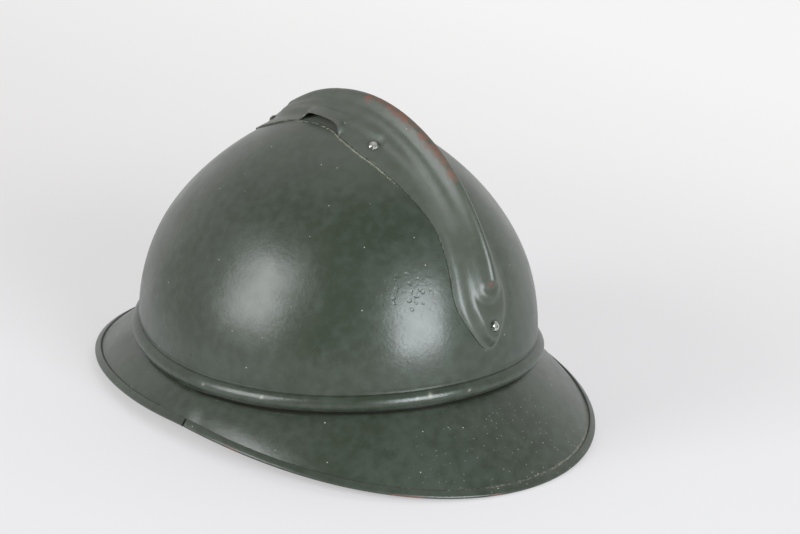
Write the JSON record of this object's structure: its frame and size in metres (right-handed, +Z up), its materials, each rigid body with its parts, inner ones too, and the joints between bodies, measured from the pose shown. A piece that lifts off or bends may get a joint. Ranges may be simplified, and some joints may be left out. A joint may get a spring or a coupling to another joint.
{
  "type": "combat helmet",
  "caption": "Steel combat helmet: oval domed bowl with a beaded edge, lapped two-part sloping brim, raised riveted comb over a crown vent, leather liner and hinged chin strap bails.",
  "frame": {"origin": "centre of the bounding box on the plane on which the hems of the brim rest", "axes": "+Z up, -Y towards the front of the helmet, +X towards the wearer's left"},
  "size_m": [0.2234, 0.2956, 0.1629],
  "materials": {
    "painted_steel": "semi-gloss olive green paint",
    "bare_rivet": "worn bare metal",
    "bare_steel": "dull steel",
    "aluminium_strip": "matte corrugated sheet",
    "felt": "wool felt",
    "leather": "smooth brown leather"
  },
  "bodies": {
    "helmet": {"bowl": "painted_steel", "front_visor": "painted_steel", "rear_neck_guard": "painted_steel", "comb": "painted_steel", "comb_front_rivet": "bare_rivet", "comb_rear_rivet": "bare_rivet", "comb_left_rivet": "bare_rivet", "comb_right_rivet": "bare_rivet", "felt_band": "felt", "head_band": "leather", "spacer_front": "aluminium_strip", "spacer_rear": "aluminium_strip", "spacer_left": "aluminium_strip", "spacer_right": "aluminium_strip", "liner_tab_front_left": "bare_steel", "liner_tab_front_right": "bare_steel", "liner_tab_rear_left": "bare_steel", "liner_tab_rear_right": "bare_steel", "crown_tongue_1": "leather", "crown_tongue_2": "leather", "crown_tongue_3": "leather", "crown_tongue_4": "leather", "crown_tongue_5": "leather", "crown_tongue_6": "leather", "crown_tongue_7": "leather", "left_bail_lug": "bare_steel", "right_bail_lug": "bare_steel"},
    "left_bail": {"left_bail": "bare_steel"},
    "right_bail": {"right_bail": "bare_steel"}
  },
  "joints": [
    {"name": "left_bail_swing", "type": "hinge", "parent": "helmet", "child": "left_bail", "pos_m": [0.0914, -0.00486, 0.01884], "axis": [0, 0.9989, 0.0461], "range_deg": [-50, 95]},
    {"name": "right_bail_swing", "type": "hinge", "parent": "helmet", "child": "right_bail", "pos_m": [-0.0914, -0.00486, 0.01884], "axis": [0, -0.9989, -0.0461], "range_deg": [-50, 95]}
  ]
}
